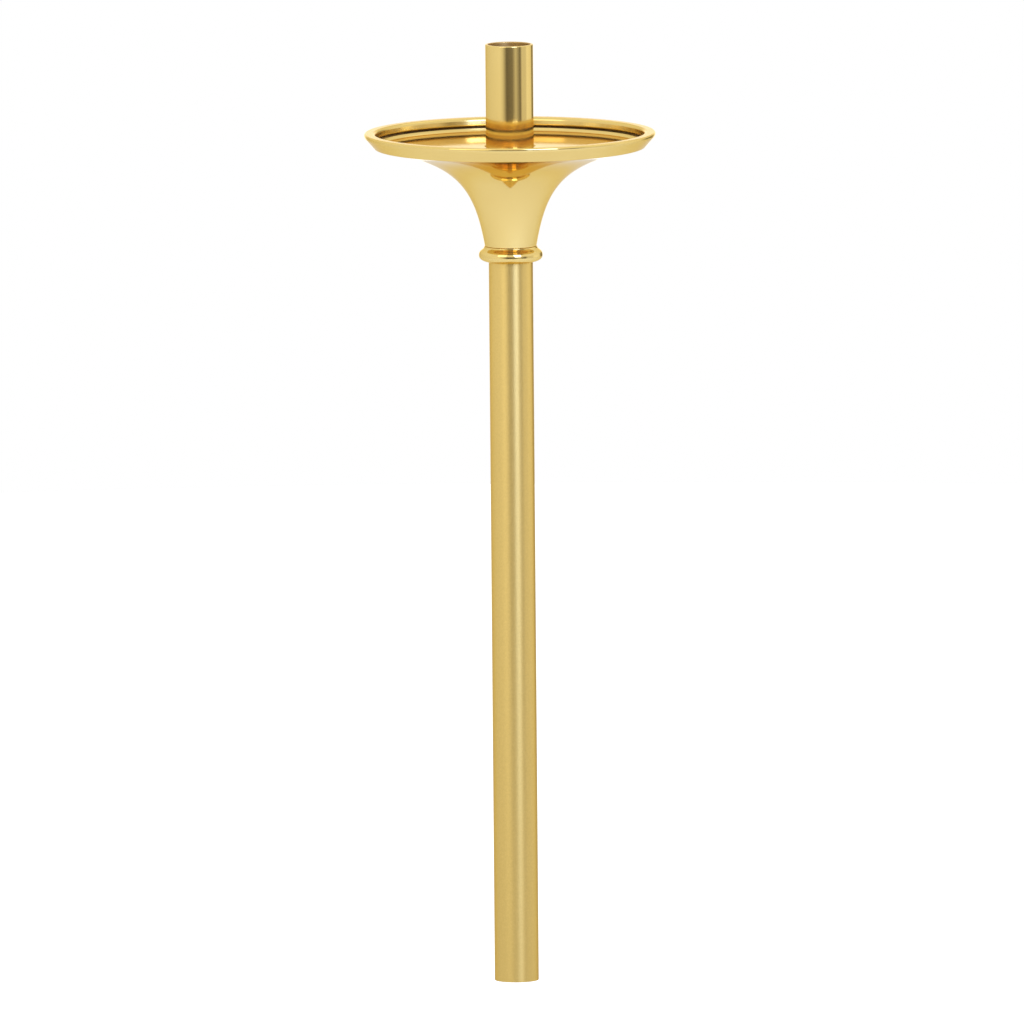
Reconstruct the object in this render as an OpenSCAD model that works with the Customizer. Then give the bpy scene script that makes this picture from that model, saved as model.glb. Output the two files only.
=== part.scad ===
// Processional torch: candle socket, wax pan and spun brass bell on a satin brass shaft.
// Millimetres. The origin is the centre of the shaft's lower end, and the axis of the torch is +Z.

/* [Shaft] */
// Length of the shaft from its foot to the underside of the collar
shaft_length = 383.7; // [150:0.1:1200]
// Outer diameter of the shaft tube
shaft_od = 23.4; // [22:0.1:27]
// Wall of the shaft tube
shaft_wall = 1.6; // [1:0.1:2.5]

/* [Foot plug] */
// Length of the plug in the lower end of the shaft
foot_plug_length = 32; // [28:1:60]
// Bore of the tapped hole in the plug
foot_bore_d = 8.5; // [6:0.1:12]
// Depth of the tapped hole
foot_bore_depth = 24; // [12:1:26]
// Countersink at the mouth of the tapped hole
foot_countersink = 1; // [0.5:0.1:1.5]

/* [Screwed neck joint] */
// Diameter of the threaded stud through the head
stud_d = 10; // [8:0.5:11]
// Rise of the thread in one turn
thread_pitch = 1.5; // [1:0.25:2]
// Turns that screw the head into the shaft
head_turns = 8; // [4:1:12]
// Length of the bush below the end of the stud
bush_spare = 10; // [4:1:20]
// Length of the collar's spigot inside the shaft
spigot_length = 6; // [3:0.5:12]
// Thickness of the fibre washer between spigot and bush
neck_washer_t = 1; // [0.6:0.1:2]

/* [Collar] */
// Largest diameter of the bead
bead_d = 33.9; // [31:0.1:40]
// Height of the collar, from the top of the shaft to the foot of the neck
bead_h = 8.3; // [6:0.1:12]
// Height of the bead's widest line above the shaft
bead_widest_h = 3.5; // [2.5:0.1:5]
// How far the collar's lower edge stands out beyond the shaft
collar_foot_step = 0.3; // [0.1:0.1:1]
// How far the collar's upper edge stands out beyond the neck
collar_top_step = 0.4; // [0.1:0.1:1]
// How the bead leaves the shaft: the curve's handle, as shares of the step out and of the rise
bead_foot_handle = [0.42, 0.26];
// How the bead runs up to its widest line: the curve's handle, as a share of the rise
bead_lower_handle = 0.61;
// How the bead leaves its widest line: the curve's handle, as a share of the rise
bead_upper_handle = 0.57;
// How the bead runs in to the neck: the curve's handle, as shares of the step in and of the rise
bead_top_handle = [0.44, 0.57];

/* [Bell] */
// Height from the foot of the neck to the top of the rim
bell_h = 60.5; // [45:0.1:90]
// Outer diameter at the foot of the neck
neck_d = 27.4; // [26:0.1:32]
// Thickness of the spun sheet
bell_sheet = 0.9; // [0.6:0.1:1]
// Where the trumpet curve leaves the neck: its first handle, as shares of the spread and of the rise
bell_neck_handle = [0.094, 0.585];
// Where the trumpet curve opens under the dish: its second handle, as shares of the spread and of the rise
bell_mouth_handle = [0.236, 0.853];

/* [Rim] */
// Outer diameter of the rim
rim_d = 154.3; // [130:0.1:180]
// Width of the flat top of the rim
rim_land = 5.9; // [4:0.1:9]
// Height of the upright lip round the rim, below its rounded edge
rim_lip_h = 1.0; // [0.3:0.1:2]
// Depth of the dish's slanting flank, from the top of the rim to its lower corner
flank_depth = 7.9; // [6.5:0.1:10]
// How far the flank draws in, from the lip to its lower corner
flank_run = 5.2; // [4:0.1:7.5]
// Rounding of the flank's lower corner
flank_corner_r = 1.4; // [1.3:0.1:3]
// Depth of the rolled inner wall of the rim
rim_wall_h = 4.4; // [3:0.1:5]
// Rounding between the flat top of the rim and its inner wall
rim_roll_r = 1.8; // [1.2:0.1:2.5]

/* [Wax pan] */
// Thickness of the pan's sheet
pan_sheet = 0.6; // [0.4:0.1:0.9]
// Distance from the flank's lower corner in to the edge of the pan's flat floor, where its cove starts
pan_inset = 8.2; // [6:0.1:10]
// Height of the dark gap between the pan's edge and the rolled wall of the rim
pan_edge_gap = 0.9; // [0.5:0.1:1.2]
// Radial clearance between the pan's edge and the rim, so that the pan lifts out
pan_rim_clear = 0.5; // [0.4:0.1:2]
// Radial clearance between the pan's hole and the candle tube
pan_hole_clear = 0.4; // [0.3:0.1:1]
// Depth of the turned-down flange round the pan's hole
pan_flange_h = 3; // [1.5:0.1:5]

/* [Candle socket] */
// Outer diameter of the candle tube
tube_od = 25.4; // [22:0.1:34]
// Wall of the candle tube
tube_wall = 1.5; // [0.8:0.1:2.5]
// Shoulder in the tube against which its base butts
tube_shoulder = 0.3; // [0.2:0.1:0.5]
// Height of the candle tube above the rim
tube_rise = 47; // [25:0.5:90]
// Turns that screw the socket onto the stud
socket_turns = 4; // [3:1:6]
// Solid floor of the socket above the end of the stud
socket_floor = 2; // [1:0.5:5]
// Depth of the socket's foot below the floor of the pan
socket_drop = 8; // [6:0.5:12]
// Thickness of the captive fibre washer under the socket
socket_washer_t = 1; // [0.8:0.1:2]

/* [Nuts and washers] */
// Metal between the thread of a nut and its flats
nut_wall = 3.5; // [2.5:0.1:4]
// Height of the nut that clamps the head
hub_nut_h = 8; // [5:0.5:10]
// Height of the thin nut under the candle socket
seat_nut_h = 6; // [4:0.5:8]
// Thickness of the flat washer in the neck
hub_washer_t = 1.5; // [1:0.1:3]
// Thickness of the split spring washer
lock_washer_t = 2.2; // [1.5:0.1:3]

/* [Hidden] */
$fn = 96;

// Clearances
solder_gap = 0.05;
run_gap = 0.08;
turn_gap = 0.1;
pan_seat_gap = 0.4;
washer_hole_gap = 0.3;
washer_rim_gap = 2;
washer_boss_gap = 0.4;
// Metal round the thread in the socket's boss
boss_wall = 2;
// Reach of a cutting shape beyond the metal it cuts
over = 1;
// Bends of the spun sheet, measured inside
bend_r = 0.15;
// Steps along a curve and round a bend
curve_steps = 36;
bead_steps = 12;
bend_steps = 6;

// Shaft, bush and foot
shaft_r = shaft_od / 2;
shaft_bore_r = shaft_r - shaft_wall;
stud_r = stud_d / 2;
spigot_z = shaft_length - spigot_length;
bush_top = spigot_z - neck_washer_t;
stud_z = bush_top - head_turns * thread_pitch;
bush_z = stud_z - bush_spare;

// Collar
neck_r = neck_d / 2;
bead_r = bead_d / 2;
collar_top = shaft_length + bead_h;
collar_foot_r = shaft_r + collar_foot_step;
collar_top_r = neck_r + collar_top_step;
foot_step = bead_r - collar_foot_r;
top_step = bead_r - collar_top_r;
bead_z = shaft_length + bead_widest_h;
bead_upper_h = collar_top - bead_z;
bead_below = bezier([
    [collar_foot_r, shaft_length],
    [collar_foot_r + bead_foot_handle[0] * foot_step, shaft_length + bead_foot_handle[1] * bead_widest_h],
    [bead_r, shaft_length + bead_lower_handle * bead_widest_h],
    [bead_r, bead_z]
], bead_steps);
bead_above = bezier([
    [bead_r, bead_z],
    [bead_r, bead_z + bead_upper_handle * bead_upper_h],
    [collar_top_r + bead_top_handle[0] * top_step, bead_z + bead_top_handle[1] * bead_upper_h],
    [collar_top_r, collar_top]
], bead_steps);

// Bell and rim
rim_r = rim_d / 2;
rim_z = collar_top + bell_h;
rim_inner_r = rim_r - rim_land;
rim_foot = [rim_inner_r, rim_z - rim_wall_h];
corner_r = rim_r - flank_run;
corner_z = rim_z - flank_depth;
sheet_bend_r = bell_sheet + bend_r;
flare_spread = corner_r - neck_r;
flare_rise = corner_z - collar_top;
flare = bezier([
    [neck_r, collar_top],
    [neck_r + bell_neck_handle[0] * flare_spread, collar_top + bell_neck_handle[1] * flare_rise],
    [neck_r + bell_mouth_handle[0] * flare_spread, collar_top + bell_mouth_handle[1] * flare_rise],
    [corner_r, corner_z]
], curve_steps);
flare_end = flare[curve_steps - 1];
lip_foot = [rim_r, rim_z - sheet_bend_r - rim_lip_h];
bell_outside = concat(
    [[stud_r + washer_hole_gap, collar_top]],
    bend([stud_r, collar_top], flare[0], flare[1], sheet_bend_r),
    [for (i = [1 : curve_steps - 1]) flare[i]],
    bend(flare_end, [corner_r, corner_z], lip_foot, flank_corner_r),
    [lip_foot],
    bend(lip_foot, [rim_r, rim_z], [rim_inner_r, rim_z], sheet_bend_r),
    bend([rim_r, rim_z], [rim_inner_r, rim_z], rim_foot, rim_roll_r),
    [rim_foot]
);
flare_inside = parallel(flare, bell_sheet);

// Wax pan, seated on the inside of the trumpet curve
pan_floor_r = corner_r - pan_inset;
pan_floor_z = lookup(pan_floor_r, flare_inside) + pan_seat_gap + pan_sheet;
pan_edge_r = rim_foot[0] - pan_rim_clear - pan_sheet;
pan_edge_z = rim_foot[1] - pan_edge_gap;
pan_hole_r = tube_od / 2 + pan_hole_clear;
pan_bend_r = pan_sheet + bend_r;
pan_cove_run = pan_edge_r - pan_floor_r;
pan_cove_rise = pan_edge_z - pan_floor_z;
pan_cove_r = (pan_cove_run * pan_cove_run + pan_cove_rise * pan_cove_rise) / (2 * pan_cove_rise);
pan_cove_sweep = asin(pan_cove_run / pan_cove_r);
pan_top = concat(
    [[pan_hole_r, pan_floor_z - pan_flange_h]],
    bend([pan_hole_r, pan_floor_z - pan_flange_h], [pan_hole_r, pan_floor_z],
         [pan_floor_r, pan_floor_z], pan_bend_r),
    [for (i = [0 : bend_steps])
        [pan_floor_r, pan_floor_z + pan_cove_r]
        + pan_cove_r * [sin(pan_cove_sweep * i / bend_steps), -cos(pan_cove_sweep * i / bend_steps)]]
);

// Candle socket
tube_r = tube_od / 2;
tube_bore_r = tube_r - tube_wall;
tube_recess_r = tube_bore_r + tube_shoulder;
socket_z = pan_floor_z - socket_drop;
stud_top = socket_z + socket_turns * thread_pitch;
candle_seat_z = stud_top + socket_floor;
tube_top = rim_z + tube_rise;
boss_r = stud_r + boss_wall;
boss_h = socket_washer_t - washer_boss_gap;
edge_chamfer = 0.4;

// Nuts and washers
nut_af = stud_d + 2 * nut_wall;
hub_washer_z = collar_top + bell_sheet;
lock_washer_z = hub_washer_z + hub_washer_t;
hub_nut_z = lock_washer_z + lock_washer_t;
seat_nut_top = socket_z - socket_washer_t;
hub_washer_r = neck_r - bell_sheet - washer_rim_gap;
lock_washer_r = nut_af / 2;
lock_washer_split = 1.6;

// Colours as the photo shows them
polished_brass = [0.92, 0.81, 0.50];
satin_brass = [0.84, 0.73, 0.44];
turned_brass = [0.79, 0.66, 0.37];
zinc_steel = [0.70, 0.71, 0.72];
red_fibre = [0.42, 0.16, 0.11];

// Curve and sheet helpers

function unit(v) = v / norm(v);
function left_of(v) = [-v[1], v[0]];
function reversed(list) = [for (i = [len(list) - 1 : -1 : 0]) list[i]];

// Points of a cubic curve through its two ends, drawn by its two handles
function bezier(p, steps) = [
    for (i = [0 : steps])
    let (t = i / steps, s = 1 - t)
    s * s * s * p[0] + 3 * s * s * t * p[1] + 3 * s * t * t * p[2] + t * t * t * p[3]
];

// Arc of radius r that rounds the corner at b between the runs a-b and b-c
function bend(a, b, c, r) =
    let (
        u = unit(a - b),
        v = unit(c - b),
        half = acos(u * v) / 2,
        centre = b + unit(u + v) * r / sin(half),
        from = b + u * r / tan(half) - centre,
        to = b + v * r / tan(half) - centre,
        start = atan2(from[1], from[0]),
        swing = atan2(to[1], to[0]) - start,
        sweep = swing > 180 ? swing - 360 : swing < -180 ? swing + 360 : swing
    )
    [for (i = [0 : bend_steps])
        centre + r * [cos(start + sweep * i / bend_steps), sin(start + sweep * i / bend_steps)]];

// Path that runs beside another, at a distance on its left
function parallel(path, distance) = [
    for (i = [0 : len(path) - 1])
    let (
        here = max(i, 1),
        next = min(i + 1, len(path) - 1),
        before = left_of(unit(path[here] - path[here - 1])),
        after = left_of(unit(path[next] - path[next - 1])),
        middle = unit(before + after)
    )
    path[i] + middle * distance / (middle * before)
];

// Sheet spun round the axis, with its thickness on the left of the path (negative: on the right)
module spun_sheet(path, thickness) {
    rotate_extrude()
        polygon(concat(path, reversed(parallel(path, thickness))));
}

// Ring turned from r_in to r_out, from z up by h, with its outer edges broken
module turned_ring(r_in, r_out, z, h, chamfer = 0) {
    rotate_extrude()
        polygon([
            [r_in, z], [r_out - chamfer, z], [r_out, z + chamfer],
            [r_out, z + h - chamfer], [r_out - chamfer, z + h], [r_in, z + h]
        ]);
}

// Hexagon nut with its corners turned off at both ends
module hex_nut(z, h) {
    corner = nut_af / 2 / cos(30);
    turned_off = corner - nut_af / 2;
    difference() {
        intersection() {
            translate([0, 0, z])
                cylinder(h = h, r = corner, $fn = 6);
            turned_ring(0, corner, z, h, turned_off / 2);
        }
        translate([0, 0, z - over])
            cylinder(h = h + 2 * over, r = stud_r + solder_gap);
    }
}

// Sub-parts

module shaft_tube() {
    color(satin_brass)
        rotate_extrude()
            polygon([
                [shaft_bore_r, 0], [shaft_r, 0], [shaft_r, shaft_length], [shaft_bore_r, shaft_length]
            ]);
}

module foot_plug() {
    plug_r = shaft_bore_r - solder_gap;
    bore_r = foot_bore_d / 2;
    color(turned_brass)
        rotate_extrude()
            polygon([
                [bore_r + foot_countersink, 0], [plug_r, 0],
                [plug_r, foot_plug_length], [0, foot_plug_length],
                [0, foot_bore_depth], [bore_r, foot_bore_depth], [bore_r, foot_countersink]
            ]);
}

module top_bush() {
    color(turned_brass)
        turned_ring(stud_r + run_gap, shaft_bore_r - solder_gap, bush_z, bush_top - bush_z, edge_chamfer);
}

module neck_washer() {
    color(red_fibre)
        turned_ring(stud_r + washer_hole_gap, shaft_bore_r - washer_hole_gap, bush_top, neck_washer_t);
}

module neck_collar() {
    hole_r = stud_r + solder_gap;
    spigot_r = shaft_bore_r - turn_gap;
    color(polished_brass)
        rotate_extrude()
            polygon(concat(
                [[hole_r, spigot_z], [spigot_r, spigot_z], [spigot_r, shaft_length]],
                bead_below,
                [for (i = [1 : bead_steps]) bead_above[i]],
                [[hole_r, collar_top]]
            ));
}

module bell() {
    color(polished_brass)
        spun_sheet(bell_outside, bell_sheet);
}

module hub_washer() {
    color(zinc_steel)
        turned_ring(stud_r + washer_hole_gap, hub_washer_r, hub_washer_z, hub_washer_t);
}

module hub_lock_washer() {
    color(zinc_steel)
        difference() {
            turned_ring(stud_r + washer_hole_gap, lock_washer_r, lock_washer_z, lock_washer_t);
            translate([0, -lock_washer_split / 2, lock_washer_z - over])
                cube([nut_af, lock_washer_split, lock_washer_t + 2 * over]);
        }
}

module hub_nut() {
    color(zinc_steel)
        hex_nut(hub_nut_z, hub_nut_h);
}

module centre_stud() {
    color(zinc_steel)
        turned_ring(0, stud_r, stud_z, stud_top - stud_z, edge_chamfer);
}

module seat_nut() {
    color(zinc_steel)
        hex_nut(seat_nut_top - seat_nut_h, seat_nut_h);
}

module wax_pan() {
    color(polished_brass)
        spun_sheet(pan_top, -pan_sheet);
}

module socket_washer() {
    color(red_fibre)
        turned_ring(boss_r + turn_gap, tube_bore_r - washer_hole_gap, seat_nut_top, socket_washer_t);
}

module socket_base() {
    color(turned_brass)
        difference() {
            union() {
                turned_ring(0, tube_recess_r - solder_gap, socket_z, candle_seat_z - socket_z);
                turned_ring(0, boss_r, socket_z - boss_h, boss_h + edge_chamfer);
            }
            translate([0, 0, socket_z - boss_h - over])
                cylinder(h = stud_top - socket_z + boss_h + over + run_gap, r = stud_r + run_gap);
        }
}

module candle_tube() {
    color(polished_brass)
        rotate_extrude()
            polygon([
                [tube_recess_r, socket_z], [tube_r, socket_z],
                [tube_r, tube_top - edge_chamfer], [tube_r - edge_chamfer, tube_top],
                [tube_bore_r, tube_top], [tube_bore_r, candle_seat_z], [tube_recess_r, candle_seat_z]
            ]);
}

shaft_tube();
foot_plug();
top_bush();
neck_washer();
neck_collar();
bell();
hub_washer();
hub_lock_washer();
hub_nut();
centre_stud();
seat_nut();
wax_pan();
socket_washer();
socket_base();
candle_tube();
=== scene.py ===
"""Looks of the processional torch: spun and polished brass head on a satin brass shaft."""

import math
from collections import namedtuple

import bmesh
import bpy
from mathutils import Matrix, Vector


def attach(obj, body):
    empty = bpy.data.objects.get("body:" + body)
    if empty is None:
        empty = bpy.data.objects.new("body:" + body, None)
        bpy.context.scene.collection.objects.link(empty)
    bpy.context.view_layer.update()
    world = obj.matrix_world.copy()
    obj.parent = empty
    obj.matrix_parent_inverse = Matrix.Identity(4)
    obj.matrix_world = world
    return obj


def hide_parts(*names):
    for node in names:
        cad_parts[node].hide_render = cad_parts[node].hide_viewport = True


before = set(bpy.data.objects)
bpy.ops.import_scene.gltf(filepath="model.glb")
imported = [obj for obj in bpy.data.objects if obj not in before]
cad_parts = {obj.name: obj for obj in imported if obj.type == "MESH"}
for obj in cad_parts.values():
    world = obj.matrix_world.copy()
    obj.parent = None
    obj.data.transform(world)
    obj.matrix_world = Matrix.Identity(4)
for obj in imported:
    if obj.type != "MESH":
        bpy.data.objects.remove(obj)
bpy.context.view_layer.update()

MM = 0.001
TURN = 2 * math.pi

Turned = namedtuple("Turned", "radius bore foot top")


def measure(node):
    """Outer radius, bore, foot and top of a turned CAD node, in millimetres from the shaft's foot."""
    points = [vertex.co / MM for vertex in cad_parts[node].data.vertices]
    radii = [point.xy.length for point in points]
    heights = [point.z for point in points]
    sizes = (max(radii), min(radii), min(heights), max(heights))
    return Turned(*(round(size, 2) for size in sizes))


# Main sizes, taken from the solids
SHAFT = measure("shaft_tube")
PLUG = measure("foot_plug")
COLLAR = measure("neck_collar")
BELL = measure("bell")
STUD = measure("centre_stud")
PAN = measure("wax_pan")
TUBE = measure("candle_tube")
CANDLE_SEAT = measure("socket_base").top

# Thread: its pitch, how far it stops short of an end, and its ridge as shares of its depth and pitch
PITCH = 1.5
THREAD_SHORT = 0.5
RIDGE_SUNK = 0.05
CREST_FROM = 0.42
CREST_TO = 0.52
RIDGE_END = 0.94

# Shaft: rounding of its cut ends
SHAFT_FOOT_EDGE = 0.35
SHAFT_TOP_EDGE = 0.25
SHAFT_BORE_EDGE = 0.3

# Foot plug: its edges and the tapped bore with a countersunk mouth
PLUG_EDGE = 0.3
PLUG_THREAD = 0.5
PLUG_WALL_R = PLUG.bore + 0.4
PLUG_MOUTH_R = PLUG.bore + 1
PLUG_WALL_FOOT = PLUG.foot + 0.6
PLUG_THREAD_FOOT = PLUG.foot + 0.9
PLUG_BORE_TOP = PLUG.foot + 24

# Stud
STUD_THREAD = 0.75
STUD_CHAMFER = 0.6

# Collar: the spigot, the bead with the handles of its curves, and the band under the bell
SPIGOT_R = 10.0
SPIGOT_EDGE = 0.4
SHOULDER_R = SHAFT.radius + 0.3
BEAD_Z = SHAFT.top + 3.5
UNDER_BEAD_HANDLES = ((14.9, SHAFT.top + 0.2), (COLLAR.radius, BEAD_Z - 1.9))
OVER_BEAD_HANDLES = ((COLLAR.radius, BEAD_Z + 2.74), (15.1, BEAD_Z + 2.74))
BAND_H = 0.7
BAND_EDGE = 0.35

# Bell: the neck, the flare with its handles as shares of its width and rise, the corner under the dish,
# the rolled rim with its lip and hem, and the limits of the rubbed land and the dull inside
BELL_SHEET = 0.9
NECK_R = 13.7
BAND_R = NECK_R + 0.5
FLARE_HANDLES = ((0.094, 0.585), (0.236, 0.853))
CORNER_R = BELL.radius - 5.2
CORNER_Z = BELL.top - 7.9
CORNER_BEND = 1.4
FOLD_BEND = 0.4
LIP_OVER = 0.4
LIP_LEAN = 0.5
LIP_H = 2.05
LIP_BEND = 1.0
RIM_INNER_R = BELL.radius - 5.9
ROLL_BEND = 1.8
RIM_WALL = 4.4
RIM_LEAN = 0.4
HEM_BEND = 0.9
LAND_DEPTH = 0.05
INWARD_LEAN = -0.05

# Wax pan: sheet, flange round the socket, floor, the corner and edge that stand up, and the rubbed band
PAN_SHEET = 0.5
PAN_FLOOR = BELL.top - 7.1
PAN_FLANGE = 3.5
PAN_FLANGE_BEND = 0.75
PAN_FLOOR_R = RIM_INNER_R - 1.95
PAN_CORNER_BEND = 1.5
PAN_EDGE_R = PAN_FLOOR_R + 0.85
PAN_EDGE_Z = PAN_FLOOR + 1.7
PAN_RUBBED = 0.8

# Candle tube: the wider bore below the candle's seat, its edges, and how far the dull bore shows
TUBE_RECESS_R = 11.5
TUBE_FOOT_EDGE = 0.3
TUBE_LIP_EDGE = 0.45
TUBE_DULL = 0.4

# Faces round each piece, the more the wider it is
RIM_STEPS = 288
NECK_STEPS = 192
SHAFT_STEPS = 160
PLUG_STEPS = 96
STUD_STEPS = 64
THREAD_STEPS = 36


# Outlines, drawn as radius and height

LONG_RUN = 1.5
NEAR_END = 0.12
FOLD_SHARE = 0.98


def curve(a, b, c, d, steps):
    """Points of the cubic curve from a to d with handles b and c."""
    points = []
    for i in range(steps + 1):
        t = i / steps
        s = 1 - t
        weights = (s * s * s, 3 * s * s * t, 3 * s * t * t, t * t * t)
        points.append(sum((w * Vector(p) for w, p in zip(weights, (a, b, c, d))), Vector((0, 0))))
    return points


def bend(a, b, c, radius, steps=8):
    """Arc that rounds the corner at b between the runs a-b and b-c."""
    a, b, c = Vector(a), Vector(b), Vector(c)
    u, v = (a - b).normalized(), (c - b).normalized()
    half = u.angle(v) / 2
    centre = b + (u + v).normalized() * radius / math.sin(half)
    start = b + u * radius / math.tan(half) - centre
    end = b + v * radius / math.tan(half) - centre
    first = math.atan2(start.y, start.x)
    sweep = math.remainder(math.atan2(end.y, end.x) - first, TURN)
    angles = [first + sweep * i / steps for i in range(steps + 1)]
    return [centre + radius * Vector((math.cos(k), math.sin(k))) for k in angles]


def beside(path, distance):
    """Second face of a sheet: the path on the left of another, without the points that fold at a bend."""
    path = [Vector(p) for p in path]
    moved = []
    for i, p in enumerate(path):
        before = (path[max(i, 1)] - path[max(i, 1) - 1]).normalized()
        last = min(i + 1, len(path) - 1)
        after = (path[last] - path[last - 1]).normalized()
        one, two = Vector((-before.y, before.x)), Vector((-after.y, after.x))
        middle = (one + two).normalized()
        moved.append(p + middle * distance / middle.dot(one))
    clear = FOLD_SHARE * abs(distance)
    return [q for q in moved if min((q - p).length for p in path) > clear]


def sheet_outline(path, thickness):
    """Closed outline of a sheet that follows a path."""
    return list(path) + list(reversed(beside(path, thickness)))


def held(outline):
    """Closed outline with a point near each end of its long runs, so that flat faces keep their shading."""
    points = []
    for a, b in zip(outline, outline[1:] + outline[:1]):
        a, b = Vector(a), Vector(b)
        points.append(a)
        if (b - a).length > LONG_RUN:
            near = (b - a).normalized() * NEAR_END
            points += [a + near, b - near]
    return points


def broken_edges(corners):
    """Closed outline with each corner (radius, height, rounding) rounded off."""
    points = []
    for i, (r, z, rounding) in enumerate(corners):
        if rounding:
            before, after = corners[i - 1], corners[(i + 1) % len(corners)]
            points += bend(before[:2], (r, z), after[:2], rounding, steps=5)
        else:
            points.append(Vector((r, z)))
    return points


# Meshes

SAME_POINT = 1e-7
SHARP_EDGE = math.radians(32)


def settle(bm, name, body, node, slot, material, *others):
    """Closes, smooths and places a finished mesh as a piece that stands for its CAD node.

    Each of the others is a material and a test for its faces, on their radius, height and outward lean.
    """
    bmesh.ops.remove_doubles(bm, verts=bm.verts, dist=SAME_POINT)
    bmesh.ops.recalc_face_normals(bm, faces=bm.faces)
    for face in bm.faces:
        face.smooth = True
        middle = face.calc_center_median()
        lean = face.normal.xy.dot(middle.xy.normalized())
        for i, (other, test) in enumerate(others):
            if test(middle.xy.length / MM, middle.z / MM, lean):
                face.material_index = i + 1
    for edge in bm.edges:
        edge.smooth = edge.calc_face_angle(0) < SHARP_EDGE
    mesh = bpy.data.meshes.new(name)
    bm.to_mesh(mesh)
    bm.free()
    for finish in (material, *(other for other, test in others)):
        mesh.materials.append(finish)
    piece = bpy.data.objects.new(name, mesh)
    bpy.context.scene.collection.objects.link(piece)
    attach(piece, body)
    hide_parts(node)


def draw_loop(bm, outline):
    """Closed loop of a radius and height outline, in the plane of X and Z."""
    corners = [bm.verts.new((p[0] * MM, 0, p[1] * MM)) for p in outline]
    return corners + [bm.edges.new(ends) for ends in zip(corners, corners[1:] + corners[:1])]


def turn_outline(bm, outline, steps):
    """Spins a closed outline once round the axis of the torch."""
    bmesh.ops.spin(bm, geom=draw_loop(bm, held(outline)), cent=(0, 0, 0), axis=(0, 0, 1),
                   dvec=(0, 0, 0), angle=TURN, steps=steps, use_merge=True,
                   use_normal_flip=False, use_duplicate=False)


def wind_thread(bm, root, crest, foot, top):
    """Winds a screw thread: one turn of the ridge, then a copy of it for each further turn."""
    sunk = root - RIDGE_SUNK * (crest - root)
    ridge = [(sunk, foot), (crest, foot + CREST_FROM * PITCH), (crest, foot + CREST_TO * PITCH),
             (sunk, foot + RIDGE_END * PITCH)]
    before = set(bm.verts)
    bmesh.ops.spin(bm, geom=draw_loop(bm, ridge), cent=(0, 0, 0), axis=(0, 0, 1),
                   dvec=(0, 0, PITCH / THREAD_STEPS * MM), angle=TURN, steps=THREAD_STEPS,
                   use_merge=False, use_normal_flip=False, use_duplicate=False)
    turn = [v for v in bm.verts if v not in before]
    edges = {edge for v in turn for edge in v.link_edges}
    faces = {face for v in turn for face in v.link_faces}
    for i in range(1, int((top - foot) / PITCH)):
        copy = bmesh.ops.duplicate(bm, geom=turn + list(edges) + list(faces))["geom"]
        points = [item for item in copy if isinstance(item, bmesh.types.BMVert)]
        bmesh.ops.translate(bm, verts=points, vec=(0, 0, i * PITCH * MM))
    bmesh.ops.remove_doubles(bm, verts=bm.verts, dist=SAME_POINT)
    bmesh.ops.holes_fill(bm, edges=[e for e in bm.edges if e.is_boundary], sides=4)


# Finishes

BRASS = (0.84, 0.63, 0.225)
POLISHED_EDGE = (0.90, 0.76, 0.46)
SATIN_EDGE = (0.82, 0.68, 0.42)


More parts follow.
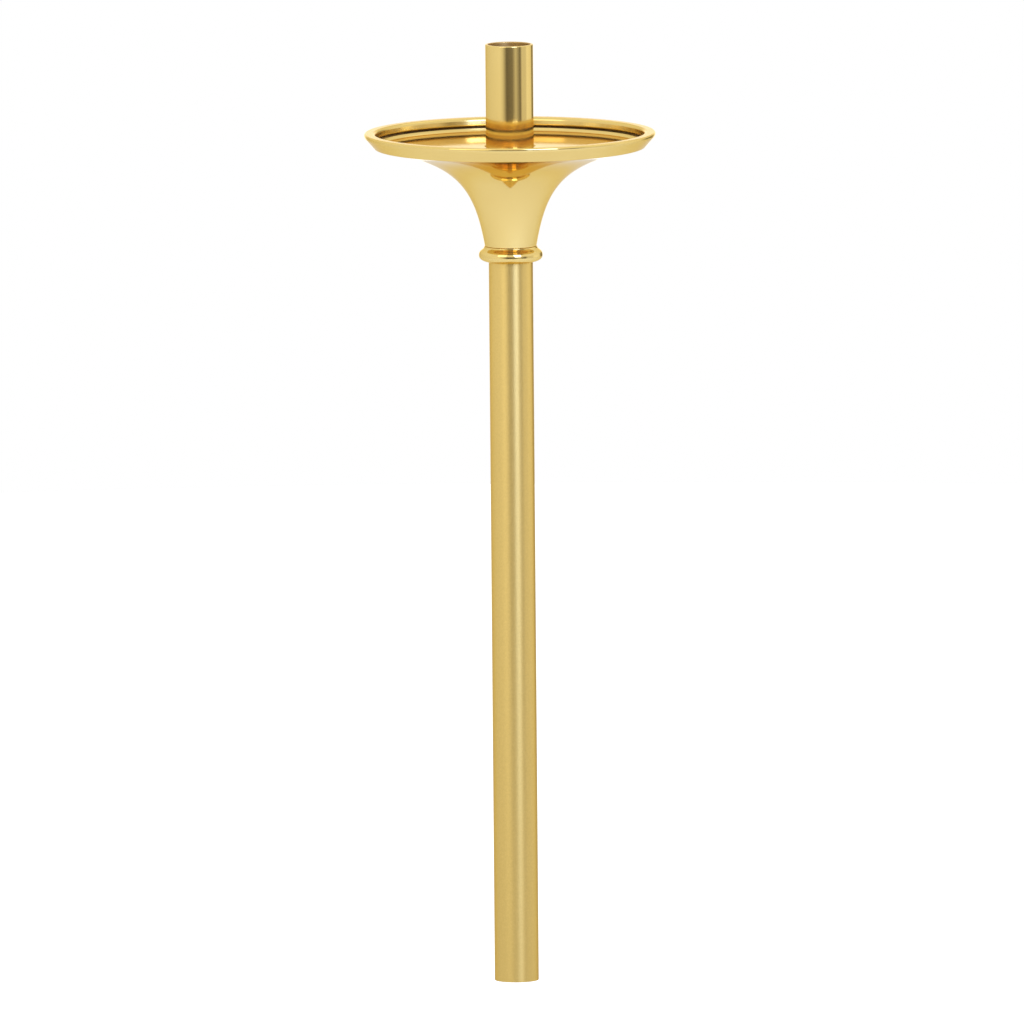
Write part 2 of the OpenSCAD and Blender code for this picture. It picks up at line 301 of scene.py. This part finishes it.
class Finish:
    """Node material of one finish, made of noise that sits on the piece."""

    def __init__(self, name, metallic=0.0):
        self.material = bpy.data.materials.new(name)
        self.material.use_nodes = True
        self.nodes = self.material.node_tree.nodes
        self.links = self.material.node_tree.links
        self.shader = self.nodes["Principled BSDF"]
        self.shader.inputs["Metallic"].default_value = metallic
        self.place = self.nodes.new("ShaderNodeTexCoord").outputs["Object"]

    def feed(self, socket, value):
        """Joins a value to a socket of the shader."""
        self.links.new(value, self.shader.inputs[socket])

    def split(self):
        """The place on the piece as X, Y and Z."""
        parts = self.nodes.new("ShaderNodeSeparateXYZ")
        self.links.new(self.place, parts.inputs[0])
        return parts.outputs

    def rings(self):
        """Radius and height alone, so that marks run round a piece as the lathe left them."""
        x, y, z = self.split()
        flat = self.nodes.new("ShaderNodeCombineXYZ")
        self.links.new(x, flat.inputs["X"])
        self.links.new(y, flat.inputs["Y"])
        radius = self.nodes.new("ShaderNodeVectorMath")
        radius.operation = "LENGTH"
        self.links.new(flat.outputs[0], radius.inputs[0])
        ring = self.nodes.new("ShaderNodeCombineXYZ")
        self.links.new(radius.outputs["Value"], ring.inputs["X"])
        self.links.new(z, ring.inputs["Y"])
        return ring.outputs[0]

    def noise(self, scale, detail, roughness=0.55, place=None):
        texture = self.nodes.new("ShaderNodeTexNoise")
        texture.inputs["Scale"].default_value = scale
        texture.inputs["Detail"].default_value = detail
        texture.inputs["Roughness"].default_value = roughness
        self.links.new(place or self.place, texture.inputs["Vector"])
        return texture.outputs[0]

    def spread(self, value, low, high, start=0.3, end=0.7):
        """Maps the range from start to end, a noise's middle, onto low to high."""
        mapped = self.nodes.new("ShaderNodeMapRange")
        for socket, number in zip(mapped.inputs[1:5], (start, end, low, high)):
            socket.default_value = number
        self.links.new(value, mapped.inputs[0])
        return mapped.outputs[0]

    def mixed(self, amount, one, two):
        """Colour between one and two."""
        mix = self.nodes.new("ShaderNodeMix")
        mix.data_type = "RGBA"
        mix.inputs[6].default_value = (*one, 1)
        mix.inputs[7].default_value = (*two, 1)
        self.links.new(amount, mix.inputs[0])
        return mix.outputs[2]

    def bump(self, height, distance, strength, below=None):
        """Fine relief, on top of the relief below it."""
        relief = self.nodes.new("ShaderNodeBump")
        relief.inputs["Strength"].default_value = strength
        relief.inputs["Distance"].default_value = distance
        self.links.new(height, relief.inputs["Height"])
        if below is not None:
            self.links.new(below, relief.inputs["Normal"])
        return relief.outputs[0]

    def tint_edge(self, tint):
        """Colour of the glancing reflections."""
        self.shader.inputs["Specular Tint"].default_value = (*tint, 1)

    def rub_round(self, amount):
        """Fine scratches round the axis of the torch, which draw each highlight out across them."""
        self.shader.inputs["Anisotropic"].default_value = amount
        self.shader.inputs["Anisotropic Rotation"].default_value = 0.25
        around = self.nodes.new("ShaderNodeTangent")
        around.direction_type = "RADIAL"
        around.axis = "Z"
        self.feed("Tangent", around.outputs[0])


def polished_brass():
    """Mirror-polished, lacquered brass with a faint ripple and lathe rings."""
    finish = Finish("polished_brass", metallic=0.94)
    finish.tint_edge(POLISHED_EDGE)
    tone = finish.spread(finish.noise(scale=34, detail=4), 0, 1)
    finish.feed("Base Color", finish.mixed(tone, BRASS, (0.81, 0.59, 0.20)))
    finish.feed("Roughness", finish.spread(finish.noise(scale=420, detail=5), 0.05, 0.09))
    ripple = finish.bump(finish.noise(scale=45, detail=2), distance=0.0001, strength=0.05)
    lathe_marks = finish.noise(scale=1500, detail=2, place=finish.rings())
    finish.feed("Normal", finish.bump(lathe_marks, distance=0.00001, strength=0.03, below=ripple))
    return finish.material


def spun_brass():
    """Inside of the dish as it left the lathe: rubbed, not buffed, with rings of darker and paler metal."""
    finish = Finish("spun_brass", metallic=0.94)
    finish.tint_edge(POLISHED_EDGE)
    finish.rub_round(0.6)
    lathe_marks = finish.noise(scale=1400, detail=3, place=finish.rings())
    tone = finish.spread(lathe_marks, 0, 1)
    finish.feed("Base Color", finish.mixed(tone, BRASS, (0.78, 0.56, 0.185)))
    finish.feed("Roughness", finish.spread(finish.noise(scale=300, detail=5), 0.15, 0.20))
    finish.feed("Normal", finish.bump(lathe_marks, distance=0.00001, strength=0.06))
    return finish.material


def satin_brass():
    """Brass rubbed round the tube to a satin and lacquered, with painted shade that darkens it towards the
    foot.
    """
    finish = Finish("satin_brass", metallic=1)
    finish.tint_edge(SATIN_EDGE)
    finish.rub_round(0.8)
    x, y, height = finish.split()
    # Painted shade: the base colour fades from the top of the shaft to a darker brass at its foot, standing
    # in for the dimmer light there
    painted_foot_shade = finish.spread(height, 1, 0, SHAFT.foot * MM, SHAFT.top * MM)
    cloud = finish.spread(finish.noise(scale=900, detail=4, roughness=0.7), -0.25, 0.25)
    tone = finish.nodes.new("ShaderNodeMath")
    tone.use_clamp = True
    finish.links.new(painted_foot_shade, tone.inputs[0])
    finish.links.new(cloud, tone.inputs[1])
    # The second, darker colour is the painted shade at the foot
    finish.feed("Base Color", finish.mixed(tone.outputs[0], (0.80, 0.575, 0.185), (0.66, 0.465, 0.14)))
    finish.feed("Roughness", finish.spread(finish.noise(scale=1400, detail=3), 0.33, 0.40))
    scratches = finish.noise(scale=5200, detail=2, place=finish.rings())
    finish.feed("Normal", finish.bump(scratches, distance=0.00001, strength=0.04))
    return finish.material


def turned_brass():
    """Plain turned brass of the plugs and the bush, with tool marks."""
    finish = Finish("turned_brass", metallic=1)
    tone = finish.spread(finish.noise(scale=220, detail=5), 0, 1)
    finish.feed("Base Color", finish.mixed(tone, (0.74, 0.54, 0.20), (0.62, 0.43, 0.15)))
    finish.feed("Roughness", finish.spread(finish.noise(scale=900, detail=3), 0.22, 0.36))
    tool_marks = finish.noise(scale=2600, detail=2, place=finish.rings())
    finish.feed("Normal", finish.bump(tool_marks, distance=0.00006, strength=0.3))
    return finish.material


def dull_brass():
    """Unpolished inside of a drawn tube, browned and streaked."""
    finish = Finish("dull_brass", metallic=0.95)
    tone = finish.spread(finish.noise(scale=120, detail=6, roughness=0.7), 0, 1)
    finish.feed("Base Color", finish.mixed(tone, (0.66, 0.44, 0.15), (0.52, 0.32, 0.10)))
    finish.feed("Roughness", finish.spread(finish.noise(scale=400, detail=4), 0.38, 0.5))
    finish.feed("Normal", finish.bump(finish.noise(scale=600, detail=3), distance=0.00001, strength=0.1))
    return finish.material


def zinc_steel():
    """Bright zinc plate on steel, slightly mottled."""
    finish = Finish("zinc_steel", metallic=1)
    tone = finish.spread(finish.noise(scale=260, detail=5), 0, 1)
    finish.feed("Base Color", finish.mixed(tone, (0.66, 0.67, 0.69), (0.52, 0.53, 0.56)))
    finish.feed("Roughness", finish.spread(finish.noise(scale=700, detail=4), 0.24, 0.42))
    finish.feed("Normal", finish.bump(finish.noise(scale=1200, detail=3), distance=0.00004, strength=0.2))
    return finish.material


def red_fibre():
    """Vulcanised fibre of the washers: matt, brick red, faintly fibrous."""
    finish = Finish("red_fibre")
    fibres = finish.noise(scale=1500, detail=6, roughness=0.7)
    tone = finish.spread(fibres, 0, 1)
    finish.feed("Base Color", finish.mixed(tone, (0.17, 0.035, 0.02), (0.10, 0.022, 0.014)))
    finish.feed("Roughness", finish.spread(fibres, 0.62, 0.85))
    finish.feed("Normal", finish.bump(fibres, distance=0.0001, strength=0.4))
    return finish.material


POLISHED = polished_brass()
SPUN = spun_brass()
SATIN = satin_brass()
TURNED = turned_brass()
DULL = dull_brass()
ZINC = zinc_steel()
FIBRE = red_fibre()


# Shaft

def make_shaft_tube():
    bm = bmesh.new()
    turn_outline(bm, broken_edges([
        (SHAFT.bore, SHAFT.foot, SHAFT_BORE_EDGE), (SHAFT.radius, SHAFT.foot, SHAFT_FOOT_EDGE),
        (SHAFT.radius, SHAFT.top, SHAFT_TOP_EDGE), (SHAFT.bore, SHAFT.top, SHAFT_TOP_EDGE),
    ]), SHAFT_STEPS)

    def in_bore(r, z, lean):
        return r < SHAFT.bore + SHAFT_BORE_EDGE

    settle(bm, "shaft_tube_piece", "shaft", "shaft_tube", "satin_brass", SATIN, (DULL, in_bore))


def make_foot_plug():
    """Plug with a tapped, countersunk bore."""
    bm = bmesh.new()
    turn_outline(bm, broken_edges([
        (PLUG_MOUTH_R, PLUG.foot, 0), (PLUG.radius, PLUG.foot, PLUG_EDGE),
        (PLUG.radius, PLUG.top, PLUG_EDGE), (0, PLUG.top, 0),
        (0, PLUG_BORE_TOP, 0), (PLUG_WALL_R, PLUG_BORE_TOP, 0), (PLUG_WALL_R, PLUG_WALL_FOOT, 0),
    ]), PLUG_STEPS)
    wind_thread(bm, PLUG.bore + PLUG_THREAD, PLUG.bore, PLUG_THREAD_FOOT, PLUG_BORE_TOP - THREAD_SHORT)
    settle(bm, "foot_plug_piece", "shaft", "foot_plug", "turned_brass", TURNED)


# Head

def make_neck_collar():
    """Spigot, half-round bead and the band on which the bell stands."""
    shoulder, widest = (SHOULDER_R, SHAFT.top), (COLLAR.radius, BEAD_Z)
    band_foot, band_top = (BAND_R, COLLAR.top - BAND_H), (BAND_R, COLLAR.top)
    under_bead = curve(shoulder, *UNDER_BEAD_HANDLES, widest, steps=20)
    over_bead = curve(widest, *OVER_BEAD_HANDLES, band_foot, steps=20)
    bore_foot, bore_top = (COLLAR.bore, COLLAR.foot), (COLLAR.bore, COLLAR.top)
    spigot_foot, spigot_top = (SPIGOT_R, COLLAR.foot), (SPIGOT_R, SHAFT.top)
    outline = [bore_foot] + bend(bore_foot, spigot_foot, spigot_top, SPIGOT_EDGE, steps=5) + [spigot_top]
    outline += under_bead + over_bead[1:]
    outline += bend(band_foot, band_top, bore_top, BAND_EDGE, steps=6) + [bore_top]
    bm = bmesh.new()
    turn_outline(bm, outline, NECK_STEPS)
    settle(bm, "neck_collar_piece", "head", "neck_collar", "polished_brass", POLISHED)


def make_bell():
    """One sheet: flat floor, trumpet flare, soft corner, leaning flank, lip, flat land, roll and hem."""
    width, rise = CORNER_R - NECK_R, CORNER_Z - BELL.foot
    floor, neck, corner = (STUD.radius, BELL.foot), (NECK_R, BELL.foot), (CORNER_R, CORNER_Z)
    handles = [(NECK_R + across * width, BELL.foot + up * rise) for across, up in FLARE_HANDLES]
    flare = curve(neck, *handles, corner, steps=96)[2:-2]
    lip_edge = (BELL.radius + LIP_OVER, BELL.top)
    lip_foot = (lip_edge[0] - LIP_LEAN, BELL.top - LIP_H)
    inner_edge = (RIM_INNER_R, BELL.top)
    inner_foot = (RIM_INNER_R - RIM_LEAN, BELL.top - RIM_WALL)
    under_rim = (BELL.radius, BELL.top - RIM_WALL)
    path = [(BELL.bore, BELL.foot)]
    path += bend(floor, neck, flare[0], FOLD_BEND)
    path += flare
    path += bend(flare[-1], corner, lip_foot, CORNER_BEND, steps=10)
    path += bend(corner, lip_foot, lip_edge, FOLD_BEND)
    path += bend(lip_foot, lip_edge, inner_edge, LIP_BEND, steps=10)
    path += bend(lip_edge, inner_edge, inner_foot, ROLL_BEND, steps=12)
    path += bend(inner_edge, inner_foot, under_rim, HEM_BEND)
    bm = bmesh.new()
    turn_outline(bm, sheet_outline(path, BELL_SHEET), RIM_STEPS)

    def leans_in(r, z, lean):
        return lean < INWARD_LEAN

    def round_dish(r, z, lean):
        on_land = z > BELL.top - LAND_DEPTH
        return z > BELL.top - RIM_WALL and (r < RIM_INNER_R + ROLL_BEND or on_land)

    settle(bm, "bell_piece", "head", "bell", "polished_brass", POLISHED,
           (DULL, leans_in), (SPUN, round_dish))


def make_centre_stud():
    root = STUD.radius - STUD_THREAD
    tip = root - STUD_CHAMFER
    bm = bmesh.new()
    turn_outline(bm, [
        (0, STUD.foot), (tip, STUD.foot), (root, STUD.foot + STUD_CHAMFER),
        (root, STUD.top - STUD_CHAMFER), (tip, STUD.top), (0, STUD.top),
    ], STUD_STEPS)
    wind_thread(bm, root, STUD.radius, STUD.foot + THREAD_SHORT, STUD.top - THREAD_SHORT)
    settle(bm, "centre_stud_piece", "head", "centre_stud", "zinc_steel", ZINC)


# Wax pan and candle socket

def make_wax_pan():
    flange, hole = (PAN.bore, PAN_FLOOR - PAN_FLANGE), (PAN.bore, PAN_FLOOR)
    corner, edge = (PAN_FLOOR_R, PAN_FLOOR), (PAN_EDGE_R, PAN_EDGE_Z)
    path = [flange] + bend(flange, hole, corner, PAN_FLANGE_BEND)
    path += bend(hole, corner, edge, PAN_CORNER_BEND, steps=14) + [edge]
    bm = bmesh.new()
    turn_outline(bm, sheet_outline(path, -PAN_SHEET), RIM_STEPS)

    def near_edge(r, z, lean):
        return r > PAN_FLOOR_R - PAN_RUBBED

    settle(bm, "wax_pan_piece", "pan", "wax_pan", "polished_brass", POLISHED, (SPUN, near_edge))


def make_candle_tube():
    bm = bmesh.new()
    turn_outline(bm, broken_edges([
        (TUBE_RECESS_R, TUBE.foot, 0), (TUBE.radius, TUBE.foot, TUBE_FOOT_EDGE),
        (TUBE.radius, TUBE.top, TUBE_LIP_EDGE), (TUBE.bore, TUBE.top, TUBE_LIP_EDGE),
        (TUBE.bore, CANDLE_SEAT, 0), (TUBE_RECESS_R, CANDLE_SEAT, 0),
    ]), NECK_STEPS)

    def in_bore(r, z, lean):
        return r < TUBE.bore + TUBE_DULL

    settle(bm, "candle_tube_piece", "socket", "candle_tube", "polished_brass", POLISHED, (DULL, in_bore))


make_shaft_tube()
make_foot_plug()
make_neck_collar()
make_bell()
make_centre_stud()
make_wax_pan()
make_candle_tube()

# Solids that are used as they are
for node, finish in {
    "top_bush": TURNED, "socket_base": TURNED, "neck_washer": FIBRE, "socket_washer": FIBRE,
    "hub_washer": ZINC, "hub_lock_washer": ZINC, "hub_nut": ZINC, "seat_nut": ZINC,
}.items():
    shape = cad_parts[node].data
    shape.materials.clear()
    shape.materials.append(finish)


# Studio: pale floor, pale walls all round with a darker side where the camera stands, and soft boxes

FLOOR_R = 1.7
FLOOR_MIDDLE = (0, 0.75, -0.03)
FLOOR_PALE = (0.87, 0.87, 0.86, 1)
FLOOR_GLOW = (0.40, 0.40, 0.40, 1)

# Brightness of the walls by bearing from the camera (degrees, right-hand side positive)
WALLS = [
    (-180, 1.50), (-166, 1.45), (-156, 0.68), (-140, 0.82), (-45, 0.97), (-32, 0.78), (-13, 0.12),
    (15, 0.20), (31, 0.64), (54, 0.13), (64, 0.75), (85, 0.76), (95, 1.05), (126, 0.96), (140, 0.18),
    (156, 0.34), (166, 1.40), (180, 1.50),
]
WALL_WARMTH = 0.04
CEILING = (0.95, 0.95, 0.95, 1)
CEILING_FROM = 0.03
CEILING_FULL = 0.30
BACKGROUND = (1.0, 1.0, 1.0, 1)

LAMP_AIM = Vector((0, 0, 0.35))
WHITE = (1.0, 1.0, 1.0)
COOL_WHITE = (0.75, 1.0, 2.0)

CAMERA_AIM = Vector((-0.0005, 0, 0.250))
CAMERA_HEIGHT = math.radians(6.9)
CAMERA_LEAN = math.radians(0.48)
CAMERA_DISTANCE = 25.0
PICTURE_WIDTH = 0.5427
SENSOR = 36


def make_floor():
    """Pale floor that is white to the camera and can be seen through from below."""
    bm = bmesh.new()
    bmesh.ops.create_circle(bm, cap_ends=True, segments=96, radius=FLOOR_R)
    bmesh.ops.translate(bm, verts=bm.verts, vec=FLOOR_MIDDLE)
    mesh = bpy.data.meshes.new("floor")
    bm.to_mesh(mesh)
    bm.free()
    material = bpy.data.materials.new("pale_floor")
    material.use_nodes = True
    nodes, links = material.node_tree.nodes, material.node_tree.links
    shader = nodes["Principled BSDF"]
    shader.inputs["Base Color"].default_value = FLOOR_PALE
    shader.inputs["Roughness"].default_value = 0.9
    shader.inputs["Specular IOR Level"].default_value = 0.1
    glow = nodes.new("ShaderNodeEmission")
    glow.inputs["Color"].default_value = FLOOR_GLOW
    links.new(nodes.new("ShaderNodeLightPath").outputs["Is Camera Ray"], glow.inputs["Strength"])
    upper_side = nodes.new("ShaderNodeAddShader")
    links.new(shader.outputs[0], upper_side.inputs[0])
    links.new(glow.outputs[0], upper_side.inputs[1])
    side = nodes.new("ShaderNodeNewGeometry")
    clear = nodes.new("ShaderNodeBsdfTransparent")
    one_sided = nodes.new("ShaderNodeMixShader")
    links.new(side.outputs["Backfacing"], one_sided.inputs[0])
    links.new(upper_side.outputs[0], one_sided.inputs[1])
    links.new(clear.outputs[0], one_sided.inputs[2])
    links.new(one_sided.outputs[0], nodes["Material Output"].inputs["Surface"])
    mesh.materials.append(material)
    floor = bpy.data.objects.new("floor", mesh)
    bpy.context.scene.collection.objects.link(floor)


def wall_colours(nodes, links, x, y):
    """Colour of the walls in the direction x, y."""
    toward = nodes.new("ShaderNodeMath")
    toward.operation = "MULTIPLY"
    toward.inputs[1].default_value = -1
    links.new(y, toward.inputs[0])
    bearing = nodes.new("ShaderNodeMath")
    bearing.operation = "ARCTAN2"
    links.new(x, bearing.inputs[0])
    links.new(toward.outputs[0], bearing.inputs[1])
    share = nodes.new("ShaderNodeMapRange")
    share.inputs[1].default_value = -math.pi
    share.inputs[2].default_value = math.pi
    links.new(bearing.outputs[0], share.inputs[0])
    walls = nodes.new("ShaderNodeValToRGB")
    stops = walls.color_ramp.elements
    while len(stops) > 1:
        stops.remove(stops[0])
    for i, (degrees, level) in enumerate(WALLS):
        position = degrees / 360 + 0.5
        stop = stops[0] if i == 0 else stops.new(position)
        stop.position = position
        stop.color = (level ** (1 - WALL_WARMTH), level, level ** (1 + WALL_WARMTH), 1)
    links.new(share.outputs[0], walls.inputs[0])
    return walls.outputs[0]


def mix_with(nodes, links, amount, colour, other):
    """Mixes a colour with one that is fixed."""
    mix = nodes.new("ShaderNodeMix")
    mix.data_type = "RGBA"
    mix.inputs[7].default_value = other
    links.new(amount, mix.inputs[0])
    links.new(colour, mix.inputs[6])
    return mix.outputs[2]


def make_world():
    """Walls and ceiling for all light, and a plain white background for the camera."""
    world = bpy.data.worlds.new("studio")
    bpy.context.scene.world = world
    world.use_nodes = True
    nodes, links = world.node_tree.nodes, world.node_tree.links
    where = nodes.new("ShaderNodeTexCoord")
    split = nodes.new("ShaderNodeSeparateXYZ")
    links.new(where.outputs["Generated"], split.inputs[0])
    x, y, z = split.outputs
    above = nodes.new("ShaderNodeMapRange")
    above.interpolation_type = "SMOOTHSTEP"
    above.inputs[1].default_value = CEILING_FROM
    above.inputs[2].default_value = CEILING_FULL
    links.new(z, above.inputs[0])
    room = mix_with(nodes, links, above.outputs[0], wall_colours(nodes, links, x, y), CEILING)
    to_camera = nodes.new("ShaderNodeLightPath").outputs["Is Camera Ray"]
    links.new(mix_with(nodes, links, to_camera, room, BACKGROUND), nodes["Background"].inputs["Color"])
    nodes["Background"].inputs["Strength"].default_value = 1


def make_lamp(name, bearing, height, distance, width, tall, power, colour):
    """Soft box at a bearing and height (degrees) from the torch's head, facing it."""
    a, e = math.radians(bearing), math.radians(height)
    light = bpy.data.lights.new(name, "AREA")
    light.shape = "RECTANGLE"
    light.size = width
    light.size_y = tall
    light.energy = power
    light.color = colour
    lamp = bpy.data.objects.new(name, light)
    direction = Vector((math.sin(a) * math.cos(e), -math.cos(a) * math.cos(e), math.sin(e)))
    lamp.location = LAMP_AIM + distance * direction
    lamp.rotation_euler = (LAMP_AIM - lamp.location).to_track_quat("-Z", "Y").to_euler()
    bpy.context.scene.collection.objects.link(lamp)


def make_camera():
    """Long lens from far off and a little above, turned by the torch's lean in the picture."""
    data = bpy.data.cameras.new("camera")
    data.sensor_width = SENSOR
    data.lens = SENSOR * CAMERA_DISTANCE / PICTURE_WIDTH
    data.clip_end = 200
    camera = bpy.data.objects.new("camera", data)
    direction = Vector((0, -math.cos(CAMERA_HEIGHT), math.sin(CAMERA_HEIGHT)))
    camera.location = CAMERA_AIM + CAMERA_DISTANCE * direction
    level = (CAMERA_AIM - camera.location).to_track_quat("-Z", "Y").to_matrix()
    camera.rotation_euler = (level @ Matrix.Rotation(-CAMERA_LEAN, 3, "Z")).to_euler()
    bpy.context.scene.collection.objects.link(camera)
    bpy.context.scene.camera = camera


make_floor()
make_world()
make_lamp("key", bearing=26, height=27, distance=1.8, width=0.75, tall=1.2, power=10, colour=COOL_WHITE)
make_lamp("fill", bearing=-33, height=28, distance=1.8, width=1.0, tall=1.0, power=3.5, colour=WHITE)
make_lamp("top", bearing=165, height=55, distance=1.6, width=2.0, tall=0.7, power=1.0, colour=WHITE)
make_camera()
bpy.context.scene.view_settings.view_transform = "Standard"
